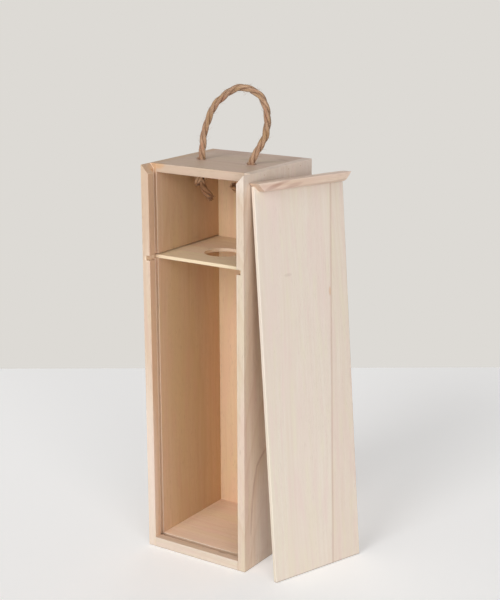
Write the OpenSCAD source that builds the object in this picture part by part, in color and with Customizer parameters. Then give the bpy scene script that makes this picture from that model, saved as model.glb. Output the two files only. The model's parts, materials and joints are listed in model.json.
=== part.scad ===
// Wooden wine box: a tall open-fronted case with a slotted neck divider, a rope handle
// and a sliding lid, which stands beside the case and leans on it
// Millimetres. The origin is the middle of the case's underside, +Z is up and the open front faces -Y

/* [Case] */
// Overall height of the case
case_h = 350; // [300:1:420]
// Overall width of the case
case_w = 105; // [96:1:130]
// Overall depth of the case
case_d = 107; // [96:1:130]
// Thickness of the two side boards
side_t = 7.5; // [7:0.1:10]
// Thickness of the top board
top_t = 7.5; // [6:0.1:10]
// Thickness of the bottom board
bottom_t = 9; // [7:0.1:12]
// Thickness of the back panel
back_t = 3; // [2:0.1:4]
// How far the back panel is let into the boards around it
back_let_in = 3.5; // [2:0.1:4.5]

/* [Glued staves] */
// Depth of the front stave of the right side board
side_front_stave = 80; // [40:1:90]
// Distance from the case's front to the joint in the top board
top_joint = 50; // [35:1:70]
// Distance from the case's front to the joint in the neck divider
divider_joint = 58; // [40:1:80]
// Width of the lid's wide stave at its foot
lid_joint_foot = 64; // [30:1:80]
// Width of the lid's wide stave at its head
lid_joint_head = 81.5; // [30:0.5:84]

/* [Lid groove] */
// Depth of the lip in front of the groove
lip_d = 7.8; // [5:0.1:12]
// Width of the groove
groove_w = 4.2; // [3.9:0.1:6]
// How deep the groove is cut into the side boards
groove_cut = 3.2; // [2:0.1:4]
// How deep the groove is cut into the bottom board
foot_groove_cut = 3.5; // [2:0.1:5]
// Width of the slanted cut at the top front corners of the side boards
corner_cut_w = 7; // [4:0.1:7]
// Height of the slanted cut
corner_cut_h = 7.4; // [4:0.1:10]

/* [Lid] */
// Thickness of the lid panel
lid_t = 3.7; // [2.5:0.1:3.8]
// Gap between each edge of the lid and the floor of its groove
lid_play = 0.5; // [0.2:0.1:1]
// Depth of the head strip from front to back
head_d = 13; // [8:0.1:16]
// Height of the head strip's solid cap above the end of the panel
head_cap = 3; // [2:0.1:4]
// Gap between each end of the head strip and its slanted seat
head_play = 2; // [0.5:0.1:3]
// Bevel along the lower front edge of the head strip
head_bevel = 1.5; // [0.5:0.1:2.5]

/* [Leaning lid] */
// Distance from the case's right side to the lid's front foot corner
lean_out = 34; // [20:1:60]
// How far the lid's front foot corner stands ahead of the case
lean_ahead = 2; // [0:1:10]
// Angle between the lid's foot and the case's front
lean_turn = 71; // [60:1:85]
// Gap left where the lid leans on the case
lean_gap = 0.3; // [0.2:0.1:0.8]

/* [Neck divider] */
// Thickness of the divider
divider_t = 3; // [2:0.1:4]
// Height of the slots' floor above the ground
slot_z = 267; // [220:1:290]
// Height of the slots
slot_h = 4.2; // [4:0.1:6]
// How deep the slots are cut into the side boards
slot_cut = 4; // [2:0.1:4.5]
// Gap between each end of the divider and the floor of its slot
divider_play = 0.5; // [0.3:0.1:1]
// Gap between the divider and the slots' lower face
divider_lift = 0.3; // [0.2:0.1:0.5]
// Gap in front of the divider to the lid's path
divider_set_back = 0.4; // [0.3:0.1:2]
// Diameter of the hole for the neck
neck_hole = 32; // [26:1:40]
// Sideways place of the hole
neck_x = -3; // [-6:1:6]
// Distance from the case's front to the middle of the hole
neck_y = 50; // [44:1:58]

/* [Rope handle] */
// Diameter of the rope
rope_d = 6; // [4:0.2:7]
// Distance between the two rope holes
rope_span = 52; // [40:1:60]
// Distance from the case's front to the rope holes
rope_y = 52.5; // [45:0.5:60]
// Diameter of the rope holes
rope_hole = 8; // [7.5:0.1:10]
// Height of the rope's arch above the top
arch_h = 64; // [45:1:90]
// Width of the knots
knot_w = 17; // [14:0.5:22]
// Height of the knots
knot_h = 17; // [13:0.5:20]
// Length of the loose tails below the knots
tail_len = 16; // [10:1:25]

/* [Pins] */
// Diameter of the pins
pin_d = 1.2; // [0.8:0.1:1.6]
// Length of the pins through the side boards
pin_len = 25; // [18:1:30]
// Length of the pins through the back panel
back_pin_len = 12; // [8:1:16]

/* [Hidden] */

// Colours of the raw timber, the shaded end grain and the jute
pale_wood = [0.89, 0.83, 0.74];
warm_wood = [0.86, 0.78, 0.68];
lid_wood = [0.91, 0.86, 0.78];
steel = [0.7, 0.7, 0.7];
jute = [0.74, 0.57, 0.4];

// Smoothness of round cuts, and how far a cut runs past the face that it opens
$fn = 48;
past = 1;

// Main planes of the case
case_front = -case_d / 2;
case_back = case_d / 2;
inner_x = case_w / 2 - side_t;
opening_w = 2 * inner_x;
groove_front = case_front + lip_d;
groove_back = groove_front + groove_w;
top_under = case_h - top_t;
panel_front = case_back - back_t;
foot_groove_z = bottom_t - foot_groove_cut;

// Joints between glued staves
side_joint_y = case_front + side_front_stave;
top_joint_y = case_front + top_joint;
divider_joint_y = case_front + divider_joint;

// Lid in its own frame: x runs across, y from the outer face inwards, z from the foot up
lid_w = opening_w + 2 * (groove_cut - lid_play);
lid_l = case_h - foot_groove_z;
panel_l = lid_l - head_cap;
head_foot_w = opening_w - 2 * head_play;
head_top_w = head_foot_w + 2 * corner_cut_w;
head_z = lid_l - corner_cut_h;
head_front = lid_t - head_d;

// The lid leans back until its head strip's inner corner meets the side of the case
lean_corner_x = (lid_w - head_top_w) / 2;
lean_reach = (lean_out + lean_corner_x * cos(lean_turn) - lean_gap) / sin(lean_turn);
lean_back = asin(lean_reach / norm([lid_t, lid_l])) - atan2(lid_t, lid_l);
lean_lift = lid_t * sin(lean_back);

// Divider
divider_w = opening_w + 2 * (slot_cut - divider_play);
divider_z = slot_z + divider_lift;
divider_front = groove_back + divider_set_back;
divider_back = panel_front - divider_play;
neck_pos_y = case_front + neck_y;

// Pins, each in a hole a little wider than itself
pin_gap = 0.05;
pin_sink = 1;
top_pin_z = case_h - top_t / 2;
foot_pin_z = foot_groove_z - pin_d;
top_rear_span = case_back - top_joint_y;
top_pin_y = [(groove_back + top_joint_y) / 2, top_joint_y + top_rear_span / 3,
    top_joint_y + top_rear_span * 2 / 3];
foot_pin_y = [for (i = [-1, 0, 1]) i * case_d / 3];
back_pin_x = inner_x + back_let_in / 2;
back_pin_z = [slot_z / 6, slot_z / 2, slot_z * 5 / 6, (slot_z + slot_h + case_h) / 2];

// Rope: the arch swings on a line through both feet, just above the top
rope_r = rope_d / 2;
rope_lift = 0.3;
rope_pos_y = case_front + rope_y;
pivot_h = rope_r + rope_lift;
knot_ring_r = knot_w / 2 - rope_r;
knot_turns = 3;
knot_drop = (knot_h - rope_d) / (knot_turns - 1);
tail_flare = 0.5;
left_tail_tilt = [0, 145, 0];
right_tail_tilt = [0, 82, 198];

// Route of the arch between its feet, as places across and heights above the top, drawn for
// these distances between the holes and up to the arch's highest point
drawn_span = 52;
drawn_h = 64;
arch_drawn = [[-25.5, 8], [-24.5, 16], [-23, 24.5], [-19.5, 33], [-16, 41], [-11, 48.5], [-4, 54.5],
    [4.5, 60.5], [14, 64], [20, 64], [26.5, 62.5], [33, 59.5], [37.5, 54.5], [40.5, 48], [41.5, 40],
    [41, 31], [39.5, 24.5], [36, 18.5], [32, 12.5], [28.5, 7]];
arch_route = concat([[-rope_span / 2, pivot_h]],
    [for (p = arch_drawn) [p.x * rope_span / drawn_span, p.y * arch_h / drawn_h]],
    [[rope_span / 2, pivot_h]]);
arch_sides = 12;
arch_steps = 2;

// Smooth curve through the points of a route
function spline(a, b, c, d, t) = 0.5 * (2 * b + (c - a) * t + (2 * a - 5 * b + 4 * c - d) * t * t
    + (3 * b - a - 3 * c + d) * t * t * t);
function smooth(route, steps) = [
    for (i = [0:len(route) - 2])
        let (a = route[max(i - 1, 0)], b = route[i], c = route[i + 1],
            d = route[min(i + 2, len(route) - 1)])
            for (k = [0:steps - 1]) spline(a, b, c, d, k / steps),
    route[len(route) - 1]
];

// Ring of a tube that runs in an upright plane: middle, direction, and its own radius
function ring(middle, way, r, sides) = [
    for (i = [0:sides - 1])
        let (a = i * 360 / sides)
            [middle.x - way.y * r * cos(a), r * sin(a), middle.y + way.x * r * cos(a)]
];
function direction(path, i) =
    let (step = path[min(i + 1, len(path) - 1)] - path[max(i - 1, 0)]) step / norm(step);

// Tube along an upright path, with a rounded end at each foot
module tube(path, r, sides) {
    last = len(path) - 1;
    first_way = direction(path, 0);
    last_way = direction(path, last);
    dome = [75, 50, 25];
    rings = concat(
        [for (a = dome) ring(path[0] - first_way * r * sin(a), first_way, r * cos(a), sides)],
        [for (i = [0:last]) ring(path[i], direction(path, i), r, sides)],
        [for (i = [2:-1:0]) ring(path[last] + last_way * r * sin(dome[i]), last_way,
            r * cos(dome[i]), sides)]);
    points = [for (one = rings) each one];
    walls = [
        for (j = [0:len(rings) - 2], i = [0:sides - 1])
            let (a = j * sides + i, b = j * sides + (i + 1) % sides)
                each [[a, b, b + sides], [a, b + sides, a + sides]]
    ];
    start = [for (i = [1:sides - 2]) [0, i + 1, i]];
    top = (len(rings) - 1) * sides;
    end = [for (i = [1:sides - 2]) [top, top + i, top + i + 1]];
    polyhedron(points, concat(walls, start, end));
}

// Cuts that both side boards share, drawn for the right one
module side_cuts() {
    groove();
    divider_slot();
    back_rabbet();
    corner_cut();
    corner_pin_holes();
    back_pin_holes();
}

// Upright groove that holds the lid's edge
module groove() {
    translate([inner_x - past, groove_front, -past])
        cube([groove_cut + past, groove_w, case_h + 2 * past]);
}

// Level slot that holds the divider's end, open at the front
module divider_slot() {
    translate([inner_x - past, case_front - past, slot_z])
        cube([slot_cut + past, case_d - back_t + past, slot_h]);
}

// Recess all round for the back panel
module back_rabbet() {
    translate([-inner_x - back_let_in, panel_front, bottom_t - back_let_in])
        cube([opening_w + 2 * back_let_in, back_t + past, case_h - top_t - bottom_t + 2 * back_let_in]);
}

// Slanted seat for the end of the lid's head strip
module corner_cut() {
    past_w = past * corner_cut_w / corner_cut_h;
    translate([0, groove_back, 0])
        rotate([90, 0, 0])
            linear_extrude(groove_back - case_front + past)
                polygon([[inner_x - past, case_h - corner_cut_h], [inner_x, case_h - corner_cut_h],
                    [inner_x + corner_cut_w + past_w, case_h + past], [inner_x - past, case_h + past]]);
}

// Holes for the sunk pins in one side board and the board ends beside it
module corner_pin_holes() {
    for (y = top_pin_y) corner_pin(y, top_pin_z, pin_gap);
    for (y = foot_pin_y) corner_pin(y, foot_pin_z, pin_gap);
}

module corner_pin(y, z, gap) {
    translate([case_w / 2 - pin_sink - pin_len - gap, y, z])
        rotate([0, 90, 0])
            cylinder(h = pin_len + 2 * gap, d = pin_d + 2 * gap);
}

module back_pin_holes() {
    for (z = back_pin_z) back_pin(z, pin_gap);
}

module back_pin(z, gap) {
    translate([back_pin_x, case_back + (gap > 0 ? past : 0), z])
        rotate([90, 0, 0])
            cylinder(h = back_pin_len + (gap > 0 ? past : 0) + gap, d = pin_d + 2 * gap);
}

// Both sides of the case alike
module both_sides() {
    children();
    mirror([1, 0, 0]) children();
}

// Upright board between two depths, on the right side
module side_stave(y_from, y_to) {
    difference() {
        translate([inner_x, y_from, 0]) cube([side_t, y_to - y_from, case_h]);
        side_cuts();
    }
}

module left_side_board() {
    color(pale_wood) mirror([1, 0, 0]) side_stave(case_front, case_back);
}

module right_side_front_stave() {
    color(pale_wood) side_stave(case_front, side_joint_y);
}

module right_side_rear_stave() {
    color(warm_wood) side_stave(side_joint_y, case_back);
}

// Stave of the top board, with its part of the rope holes
module top_stave(y_from, y_to) {
    difference() {
        translate([-inner_x, y_from, top_under]) cube([opening_w, y_to - y_from, top_t]);
        for (side = [-1, 1])
            translate([side * rope_span / 2, rope_pos_y, top_under - past])
                cylinder(h = top_t + 2 * past, d = rope_hole);
        back_rabbet();
        both_sides() corner_pin_holes();
    }
}

module top_front_stave() {
    color(pale_wood) top_stave(groove_back, top_joint_y);
}

module top_rear_stave() {
    color(warm_wood) top_stave(top_joint_y, case_back);
}

// Bottom board, with its lip and the groove for the lid's foot
module bottom_board() {
    color(pale_wood)
        difference() {
            translate([-inner_x, case_front, 0]) cube([opening_w, case_d, bottom_t]);
            translate([-inner_x - past, groove_front, foot_groove_z])
                cube([opening_w + 2 * past, groove_w, foot_groove_cut + past]);
            back_rabbet();
            both_sides() corner_pin_holes();
        }
}

module back_panel() {
    color(warm_wood)
        difference() {
            translate([-inner_x - back_let_in, panel_front, bottom_t - back_let_in])
                cube([opening_w + 2 * back_let_in, back_t,
                    case_h - top_t - bottom_t + 2 * back_let_in]);
            both_sides() back_pin_holes();
        }
}

module corner_pins() {
    color(steel)
        both_sides() {
            for (y = top_pin_y) corner_pin(y, top_pin_z, 0);
            for (y = foot_pin_y) corner_pin(y, foot_pin_z, 0);
        }
}

module back_pins() {
    color(steel)
        both_sides()
            for (z = back_pin_z) back_pin(z, 0);
}

module handle_rope() {
    color(jute)
        translate([0, rope_pos_y, case_h])
            tube(smooth(arch_route, arch_steps), rope_r, arch_sides);
}

// Rope end: down through its hole, round in a knot, and out in a loose tail
module rope_end(tail_tilt) {
    translate([0, 0, -top_t - knot_h + rope_r])
        cylinder(h = top_t + knot_h - rope_r, r = rope_r);
    for (turn = [0:knot_turns - 1])
        translate([0, 0, -top_t - rope_r - turn * knot_drop])
            rotate_extrude()
                translate([knot_ring_r, 0]) circle(r = rope_r);
    translate([0, 0, -top_t - knot_h + rope_r])
        rotate(tail_tilt)
            cylinder(h = knot_ring_r + tail_len, r1 = rope_r, r2 = rope_r + tail_flare);
}

module left_rope_end() {
    color(jute) translate([-rope_span / 2, rope_pos_y, case_h]) rope_end(left_tail_tilt);
}

module right_rope_end() {
    color(jute) translate([rope_span / 2, rope_pos_y, case_h]) rope_end(right_tail_tilt);
}

// Stave of the neck divider, with its part of the hole
module divider_stave(y_from, y_to) {
    difference() {
        translate([-divider_w / 2, y_from, divider_z]) cube([divider_w, y_to - y_from, divider_t]);
        translate([neck_x, neck_pos_y, divider_z - past])
            cylinder(h = divider_t + 2 * past, d = neck_hole);
    }
}

module divider_front_stave() {
    color(pale_wood) divider_stave(divider_front, divider_joint_y);
}

module divider_rear_stave() {
    color(warm_wood) divider_stave(divider_joint_y, divider_back);
}

// Places what is drawn in the lid's own frame where the lid leans
module leaning() {
    translate([case_w / 2 + lean_out, case_front - lean_ahead, lean_lift])
        rotate([0, 0, lean_turn])
            rotate([-lean_back, 0, 0])
                children();
}

// Flat stave of the lid from an outline across and up
module lid_stave(outline) {
    translate([0, lid_t, 0])
        rotate([90, 0, 0])
            linear_extrude(lid_t) polygon(outline);
}

module lid_wide_stave() {
    color(lid_wood)
        leaning()
            lid_stave([[0, 0], [lid_joint_foot, 0], [lid_joint_head, panel_l], [0, panel_l]]);
}

module lid_narrow_stave() {
    color(lid_wood)
        leaning()
            lid_stave([[lid_joint_foot, 0], [lid_w, 0], [lid_w, panel_l], [lid_joint_head, panel_l]]);
}

// Head strip with slanted ends, rabbeted over the panel's end
module lid_head_strip() {
    middle = lid_w / 2;
    color(warm_wood)
        leaning()
            difference() {
                translate([middle, lid_t, 0])
                    rotate([90, 0, 0])
                        linear_extrude(head_d)
                            polygon([[-head_foot_w / 2, head_z], [head_foot_w / 2, head_z],
                                [head_top_w / 2, lid_l], [-head_top_w / 2, lid_l]]);
                translate([middle - head_top_w / 2, 0, head_z - past])
                    cube([head_top_w, lid_t + past, panel_l - head_z + past]);
                translate([middle, head_front, head_z])
                    rotate([45, 0, 0])
                        cube([head_top_w, head_bevel * sqrt(2), head_bevel * sqrt(2)], center = true);
            }
}

left_side_board();
right_side_front_stave();
right_side_rear_stave();
top_front_stave();
top_rear_stave();
bottom_board();
back_panel();
corner_pins();
back_pins();
handle_rope();
left_rope_end();
right_rope_end();
divider_front_stave();
divider_rear_stave();
lid_wide_stave();
lid_narrow_stave();
lid_head_strip();
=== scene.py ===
"""Looks of a wooden wine box: raw pale timber, a jute rope handle and a lid that stands beside the case."""
import json
import math
import random

import bmesh
import bpy
import numpy as np
from mathutils import Matrix, Vector
from mathutils.bvhtree import BVHTree
from mathutils.geometry import intersect_point_line

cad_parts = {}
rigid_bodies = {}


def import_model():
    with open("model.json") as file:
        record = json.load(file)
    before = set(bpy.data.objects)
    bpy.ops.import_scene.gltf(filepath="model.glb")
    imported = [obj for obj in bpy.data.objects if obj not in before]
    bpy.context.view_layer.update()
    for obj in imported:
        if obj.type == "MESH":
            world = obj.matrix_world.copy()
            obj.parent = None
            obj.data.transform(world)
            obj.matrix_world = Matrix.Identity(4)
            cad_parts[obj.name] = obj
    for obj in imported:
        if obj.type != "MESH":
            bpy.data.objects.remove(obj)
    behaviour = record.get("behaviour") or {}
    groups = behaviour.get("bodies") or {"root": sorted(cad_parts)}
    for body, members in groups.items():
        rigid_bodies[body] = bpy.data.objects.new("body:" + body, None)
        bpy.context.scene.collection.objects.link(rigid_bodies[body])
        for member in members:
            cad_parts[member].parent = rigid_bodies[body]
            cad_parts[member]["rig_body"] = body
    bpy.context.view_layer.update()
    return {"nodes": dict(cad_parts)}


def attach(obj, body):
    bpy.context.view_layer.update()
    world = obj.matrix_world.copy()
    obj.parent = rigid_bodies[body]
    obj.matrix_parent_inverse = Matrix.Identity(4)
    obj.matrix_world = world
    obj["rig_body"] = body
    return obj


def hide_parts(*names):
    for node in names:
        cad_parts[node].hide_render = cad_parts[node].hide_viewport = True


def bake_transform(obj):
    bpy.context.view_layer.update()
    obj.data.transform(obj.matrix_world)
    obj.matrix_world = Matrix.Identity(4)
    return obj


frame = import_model()
MM = 0.001

# Sizes of the case, in millimetres as in the part's source
CASE_H = 350
CASE_W = 105
CASE_D = 107
TOP_T = 7.5
SIDE_T = 7.5
BOTTOM_T = 9
GROOVE = (-45.7, -41.5)
SLOT = (267, 270.6)
LEAN_TURN = 71
LEAN_OUT = 34
LEAN_AHEAD = 2

# Camera that the photograph's edges give, in millimetres and degrees
PHOTO_H = 600
FOCAL_PX = 1361.95
CAMERA_AT = (659.5, -955.4, 537.5)
CAMERA_YAW = 33.673
CAMERA_PITCH = 14.986
CAMERA_ROLL = -0.144
SENSOR = 36
CLIP_M = (0.05, 20)

UP = Vector((0, 0, 1))
ACROSS = Vector((1, 0, 0))
BACK = Vector((0, 1, 0))


def srgb(r, g, b):
    """A colour as linear numbers, from the eight-bit numbers that a screen shows."""
    return tuple(((v / 255 + 0.055) / 1.055) ** 2.4 if v > 10 else v / 255 / 12.92 for v in (r, g, b))


def make_camera():
    data = bpy.data.cameras.new("camera")
    data.sensor_width = SENSOR
    data.lens = FOCAL_PX * SENSOR / PHOTO_H
    data.clip_start, data.clip_end = CLIP_M
    camera = bpy.data.objects.new("camera", data)
    camera.matrix_world = (
        Matrix.Translation(Vector(CAMERA_AT) * MM)
        @ Matrix.Rotation(math.radians(CAMERA_YAW), 4, "Z")
        @ Matrix.Rotation(math.radians(90 - CAMERA_PITCH), 4, "X")
        @ Matrix.Rotation(math.radians(CAMERA_ROLL), 4, "Z")
    )
    bpy.context.scene.collection.objects.link(camera)
    bpy.context.scene.camera = camera


make_camera()


class Nodes:
    """A material's node tree. Each method adds nodes and returns their output."""

    def __init__(self, tree):
        self.tree = tree
        tree.nodes.clear()

    def add(self, kind, inputs, **settings):
        made = self.tree.nodes.new(kind)
        for name, value in settings.items():
            setattr(made, name, value)
        for name, value in inputs.items():
            if isinstance(value, bpy.types.NodeSocket):
                self.tree.links.new(value, made.inputs[name])
            else:
                made.inputs[name].default_value = value
        return made

    def math(self, operation, a, b=0.0, clamp=False):
        return self.add("ShaderNodeMath", {0: a, 1: b}, operation=operation, use_clamp=clamp).outputs[0]

    def vector(self, operation, a, b=(0, 0, 0)):
        made = self.add("ShaderNodeVectorMath", {0: a, 1: b}, operation=operation)
        return made.outputs["Value" if operation in ("LENGTH", "DOT_PRODUCT") else "Vector"]

    def along(self, at, way):
        """How far a place lies along a direction."""
        return self.vector("DOT_PRODUCT", at, tuple(way))

    def millimetres(self):
        """The place in the object, in millimetres."""
        place = self.add("ShaderNodeTexCoord", {}).outputs["Object"]
        return self.vector("MULTIPLY", place, (1 / MM, 1 / MM, 1 / MM))

    def noise(self, at, often, detail, output="Fac"):
        """Noise with that many waves for each unit of at, in its three directions."""
        inputs = {"Vector": self.vector("MULTIPLY", at, often), "Scale": 1.0, "Detail": detail}
        return self.add("ShaderNodeTexNoise", inputs).outputs[output]

    def between(self, value, low, high, to_low=0.0, to_high=1.0):
        """value from low to high, turned smoothly into to_low to to_high."""
        inputs = {"Value": value, "From Min": low, "From Max": high, "To Min": to_low, "To Max": to_high}
        return self.add("ShaderNodeMapRange", inputs, interpolation_type="SMOOTHSTEP").outputs[0]

    def mix(self, share, a, b, blend="MIX"):
        inputs = {0: share, 6: a if isinstance(a, bpy.types.NodeSocket) else (*a, 1),
                  7: b if isinstance(b, bpy.types.NodeSocket) else (*b, 1)}
        return self.add("ShaderNodeMix", inputs, data_type="RGBA", blend_type=blend).outputs[2]

    def tinted(self, share, colour, tint):
        """The colour, multiplied by the tint in that share."""
        return self.mix(share, colour, self.mix(1.0, colour, tint, "MULTIPLY"))

    def curve(self, value, stops):
        """A smooth curve of value through (place, height) stops, as a grey."""
        made = self.add("ShaderNodeValToRGB", {0: value})
        ramp = made.color_ramp
        ramp.interpolation = "B_SPLINE"
        while len(ramp.elements) < len(stops):
            ramp.elements.new(0.5)
        for element, (place, height) in zip(ramp.elements, stops):
            element.position = place
            element.color = (height, height, height, 1)
        return made.outputs[0]

    def surface(self, inputs, height, depth):
        """The surface shader, with a bump of that height map and depth, and the material's output."""
        shader = self.add("ShaderNodeBsdfPrincipled", inputs)
        bump = self.add("ShaderNodeBump", {"Height": height, "Distance": depth, "Strength": 1.0})
        self.tree.links.new(bump.outputs[0], shader.inputs["Normal"])
        self.add("ShaderNodeOutputMaterial", {0: shader.outputs[0]})

    def met_by(self, *rays):
        """1 where a ray of one of these kinds ends, and 0 for all others."""
        path = self.add("ShaderNodeLightPath", {})
        seen = 0.0
        for ray in rays:
            seen = self.math("MAXIMUM", path.outputs[f"Is {ray} Ray"], seen)
        return seen


def new_material(name):
    made = bpy.data.materials.new(name)
    made.use_nodes = True
    return made, Nodes(made.node_tree)


# Colours of the planed timber
PALE = srgb(239, 227, 213)
DEEP = srgb(216, 191, 168)
PINK = srgb(233, 210, 199)
STRAW = srgb(232, 221, 196)
PORE = srgb(150, 118, 90)
GLUE = srgb(204, 170, 154)
END_GRAIN = srgb(243, 235, 226)
SAWN = srgb(242, 228, 214)
# The colour of the painted contact shadow along a foot
FOOT_SHADOW = srgb(140, 122, 108)

# Waves of the timber's noises in a millimetre across, through and along the grain
SWAYS = (0.02, 0.02, 0.004)
RIPPLES = (0.15, 0.15, 0.02)
STREAKS = (0.4, 0.4, 0.008)
FIBRES = (2.2, 2.2, 0.035)
PORES = (3.2, 3.2, 0.16)
BLOTCHES = (0.16, 0.16, 0.022)
CASTS = (0.035, 0.035, 0.005)

# How dark a year ring is, from its early wood to its late wood
RING_CURVE = [(0.0, 0.2), (0.55, 0.15), (0.8, 0.55), (0.93, 1.0), (1.0, 0.2)]

# Rings are counted from so many below the pith, so that the count never falls below nought
RINGS_BEFORE = 1000

# How far the ripples move the grain, in millimetres
RIPPLE_OUT = 1.6

# Share of a board's shift that also goes across the grain
SHIFT_ACROSS = 0.37

# Shares of the deep colour: in streaks, in fibres, and all over
DEEP_STREAKS = 0.75
DEEP_FIBRES = 0.25
DEEP_SAWN_FIBRES = 0.7
DEEP_ALL = 0.24
DEEP_WORN = 0.12

# Shares of the pink and the straw colour in the blotches, the second one of the timber's own straw
BLOTCH_PINK = 0.45
BLOTCH_STRAW = 0.8

# A glue line's half width, the share of its colour, and how far it wavers
GLUE_WIDE = 1.7
GLUE_SHARE = 0.36
GLUE_WAVER = 0.6

# Heights above the table where the painted contact shadow along a foot starts and is full, and its share
FOOT_SHADOW_FROM = 1.6
FOOT_SHADOW_FULL = 0.5
FOOT_SHADOW_SHARE = 0.55

# How far the fibres move the edges of the painted foot shadow and of marks
FOOT_SHADOW_FRINGE = 0.8
MARK_FRINGE = 1.2

# Depth of the bump in metres
PLANED_DEPTH = 0.00006
SAWN_DEPTH = 0.0002


class Timber:
    """How one board's timber differs. Lengths are in millimetres.

    pith is the tree's middle across and through the board, which sets the rings' bow, and ring is their
    width. taper makes them arch along the board, offset moves them, and the grain wanders by sway. shift is
    the board's place in the noises. joint is a glue line's place across and its slant. foot is the direction
    and the level near which a contact shadow is painted. Each of faces is a direction, the tint that paints
    light or shade on the faces that look that way, and where across the tint starts and is full. Each of
    marks
    is a spot: place, direction, length, width, colour and share. The others are strengths: of the rings, of
    the grain as a whole, of its pink and its straw colour, and of the pores."""

    tint = (1, 1, 1)
    pith = (0, -70)
    ring = 4.5
    taper = 0.01
    offset = 0
    sway = 16
    ringed = 0.3
    contrast = 1.0
    warmth = 0.4
    straw = 0.5
    pored = 0.22
    shift = 0
    joint = None
    foot = None
    faces = ()
    marks = ()

    def __init__(self, **own):
        for name, value in own.items():
            setattr(self, name, value)


class Grain:
    """A board's noises and year rings at a place, as outputs of its material's nodes."""

    def __init__(self, n, at, timber):
        half = (0.5, 0.5, 0.5)
        shifted = n.vector("ADD", at, (timber.shift * SHIFT_ACROSS, 0, timber.shift))
        swung = n.vector("SUBTRACT", n.noise(shifted, SWAYS, 1, output="Color"), half)
        self.ripple = n.vector("SUBTRACT", n.noise(shifted, RIPPLES, 2, output="Color"), half)
        drift = n.vector("ADD", n.vector("MULTIPLY", swung, (timber.sway, timber.sway, 0)),
                         n.vector("MULTIPLY", self.ripple, (RIPPLE_OUT, RIPPLE_OUT, 0)))
        drifted = n.vector("ADD", shifted, drift)
        out = n.vector("SUBTRACT", n.vector("ADD", at, drift), (*timber.pith, 0))
        out = n.vector("LENGTH", n.vector("MULTIPLY", out, (1, 1, 0)))
        out = n.math("ADD", out, n.math("MULTIPLY", n.along(at, (0, 0, 1)), timber.taper))
        out = n.math("ADD", out, timber.offset + RINGS_BEFORE * timber.ring)
        phase = n.math("FRACT", n.math("DIVIDE", out, timber.ring))
        spots = n.noise(drifted, PORES, 0)
        self.late = n.curve(phase, RING_CURVE)
        self.streak = n.noise(drifted, STREAKS, 3)
        self.fibre = n.noise(drifted, FIBRES, 3)
        self.blotch = n.noise(drifted, BLOTCHES, 2)
        self.cast = n.noise(shifted, CASTS, 2)
        self.pores = n.math("MULTIPLY", n.between(spots, 0.66, 0.75), n.between(phase, 0.9, 0.35))


def planed_colour(n, grain, timber, worn, sawn):
    """The timber's colour before single faces and marks."""
    fibrous = (DEEP_SAWN_FIBRES if sawn else DEEP_FIBRES) * timber.contrast
    depth = n.math("MULTIPLY", grain.late, timber.ringed * timber.contrast)
    for noise, share in ((grain.streak, DEEP_STREAKS * timber.contrast), (grain.fibre, fibrous)):
        depth = n.math("ADD", depth, n.math("MULTIPLY", n.math("SUBTRACT", noise, 0.5), share))
    depth = n.math("ADD", depth, DEEP_WORN if worn else DEEP_ALL, clamp=True)
    colour = n.mix(depth, PALE, DEEP)
    for noise, none, full, share, paint in (
            (grain.cast, 0.5, 0.72, timber.straw, STRAW),
            (grain.cast, 0.5, 0.3, timber.warmth, PINK),
            (grain.blotch, 0.52, 0.7, BLOTCH_PINK, PINK),
            (grain.blotch, 0.48, 0.3, timber.straw * BLOTCH_STRAW, STRAW)):
        colour = n.mix(n.between(noise, none, full, 0, share), colour, paint)
    colour = n.mix(n.math("MULTIPLY", grain.pores, timber.pored), colour, PORE)
    colour = n.mix(1.0, colour, timber.tint, "MULTIPLY")
    return n.mix(1.0, colour, SAWN, "MULTIPLY") if sawn else colour


def marked(n, colour, at, fibre, mark):
    """The colour with one spot on it, whose edge follows the fibres. at is the place in millimetres."""
    spot, way, length, width, paint, share = mark
    way = tuple(Vector(way).normalized())
    gone = n.vector("SUBTRACT", at, spot)
    ahead = n.math("DIVIDE", n.math("ABSOLUTE", n.along(gone, way)), length / 2)
    aside = n.math("DIVIDE", n.vector("LENGTH", n.vector("CROSS_PRODUCT", gone, way)), width / 2)
    reach = n.math("ADD", n.math("POWER", ahead, 2.0), n.math("POWER", aside, 2.0))
    reach = n.math("ADD", reach, n.math("MULTIPLY", n.math("SUBTRACT", fibre, 0.5), MARK_FRINGE))
    return n.mix(n.between(reach, 1.3, 0.1, 0, share), colour, paint)


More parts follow.
